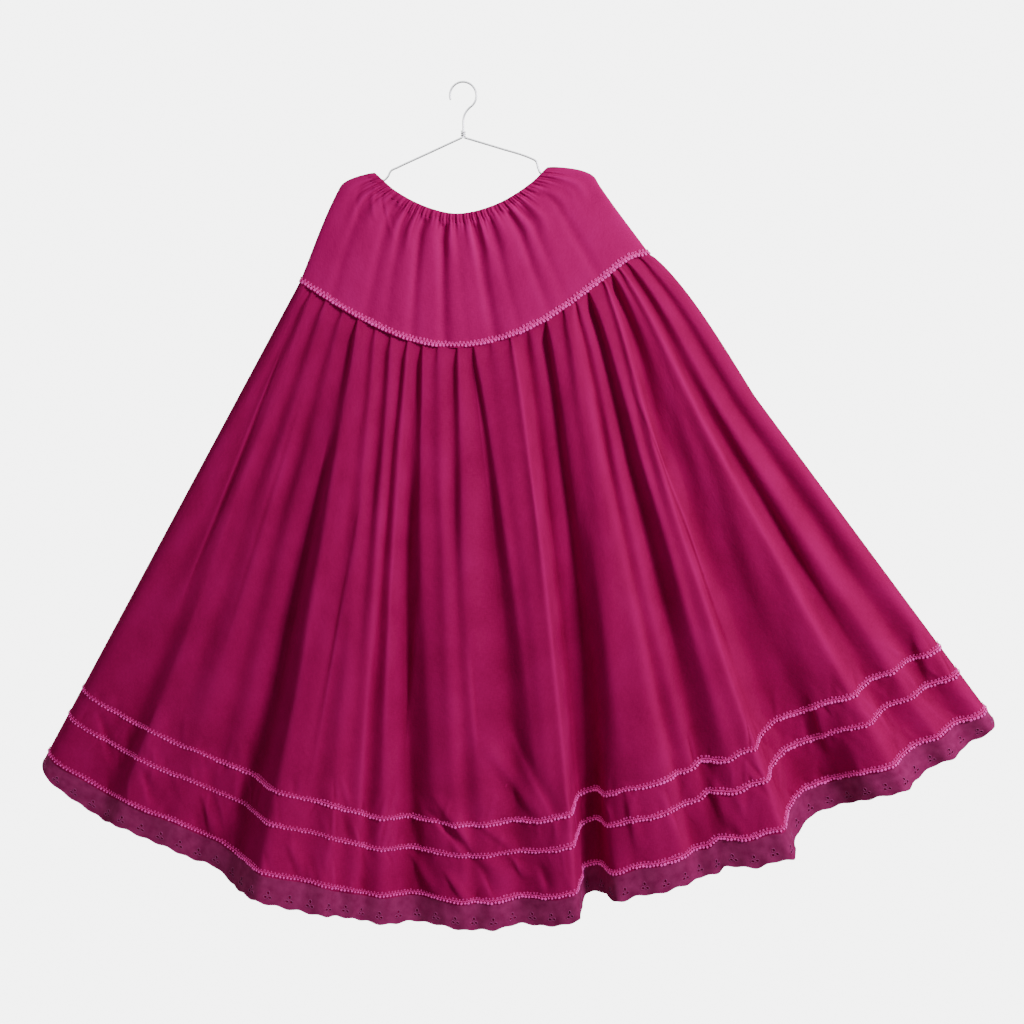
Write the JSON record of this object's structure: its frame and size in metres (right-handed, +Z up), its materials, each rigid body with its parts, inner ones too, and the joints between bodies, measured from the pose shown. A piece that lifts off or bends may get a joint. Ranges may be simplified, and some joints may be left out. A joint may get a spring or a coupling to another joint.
{
  "type": "umbanda skirt on wire hanger",
  "caption": "Long pleated magenta ritual skirt with a smooth hip yoke, picot braid rows and scalloped cutwork hem, hung by its gathered waist on a wire hanger.",
  "frame": {"origin": "inside top of the hanger's hook, where the rail bears", "axes": "+X across the skirt to the viewer's right, -Y the way the front faces, +Z up"},
  "size_m": [1.4685, 0.1868, 1.2628],
  "materials": {
    "cloth": "matte woven cloth with a faint sheen",
    "casing": "matte woven cloth over elastic",
    "cutwork": "embroidered cutwork",
    "picot": "bright picot braid",
    "wire": "galvanised wire"
  },
  "bodies": {
    "root": {"waistband_front": "casing", "waistband_back": "casing", "yoke_front": "cloth", "yoke_back": "cloth", "skirt_front": "cloth", "skirt_back": "cloth", "lace_front": "cutwork", "lace_back": "cutwork", "trim_yoke_front": "picot", "trim_yoke_back": "picot", "trim_upper_front": "picot", "trim_upper_back": "picot", "trim_middle_front": "picot", "trim_middle_back": "picot", "trim_lower_front": "picot", "trim_lower_back": "picot", "hanger_hook": "wire", "hanger_arm_left": "wire", "hanger_arm_right": "wire", "hanger_bar": "wire"}
  },
  "joints": []
}
